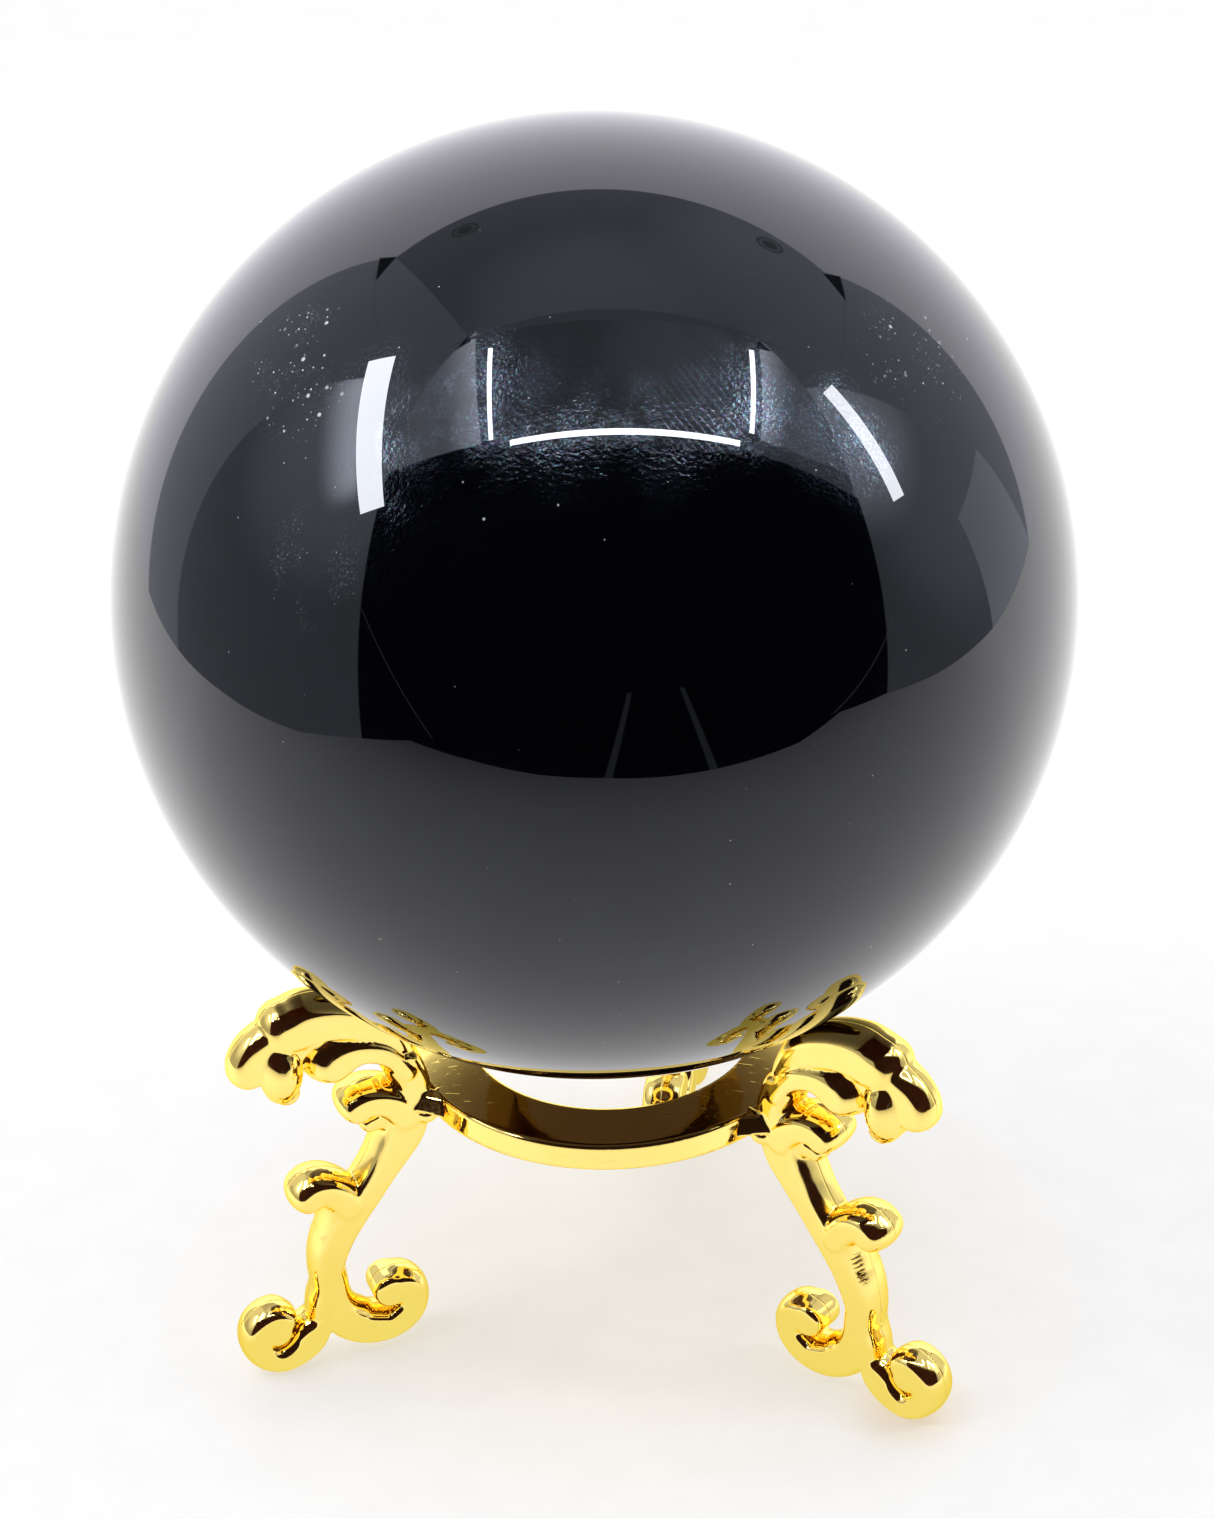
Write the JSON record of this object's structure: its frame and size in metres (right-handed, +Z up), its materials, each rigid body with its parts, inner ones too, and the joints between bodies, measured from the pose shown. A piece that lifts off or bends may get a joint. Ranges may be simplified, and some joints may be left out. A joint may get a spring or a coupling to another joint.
{
  "type": "polished stone sphere on a stand",
  "caption": "Polished black obsidian sphere resting on a gilded cast stand: a flat ring carried by scrolled legs that end in curled leaf tops.",
  "frame": {"origin": "on the floor under the sphere's centre, at the middle of the bounding box's bottom", "axes": "+Z up, along the sphere's and the ring's axis; the pictured front is -Y and +X is the viewer's right; one leg points to the back"},
  "size_m": [0.09, 0.09, 0.1237],
  "materials": {
    "obsidian": "polished volcanic glass, mirror gloss, with fine pale specks",
    "gilded_ring": "bright gold plating, polished",
    "gilded_leg": "bright gold plating over a smooth casting"
  },
  "bodies": {
    "root": {"sphere": "obsidian", "ring": "gilded_ring", "leg_left": "gilded_leg", "leg_right": "gilded_leg", "leg_back": "gilded_leg"}
  },
  "joints": []
}
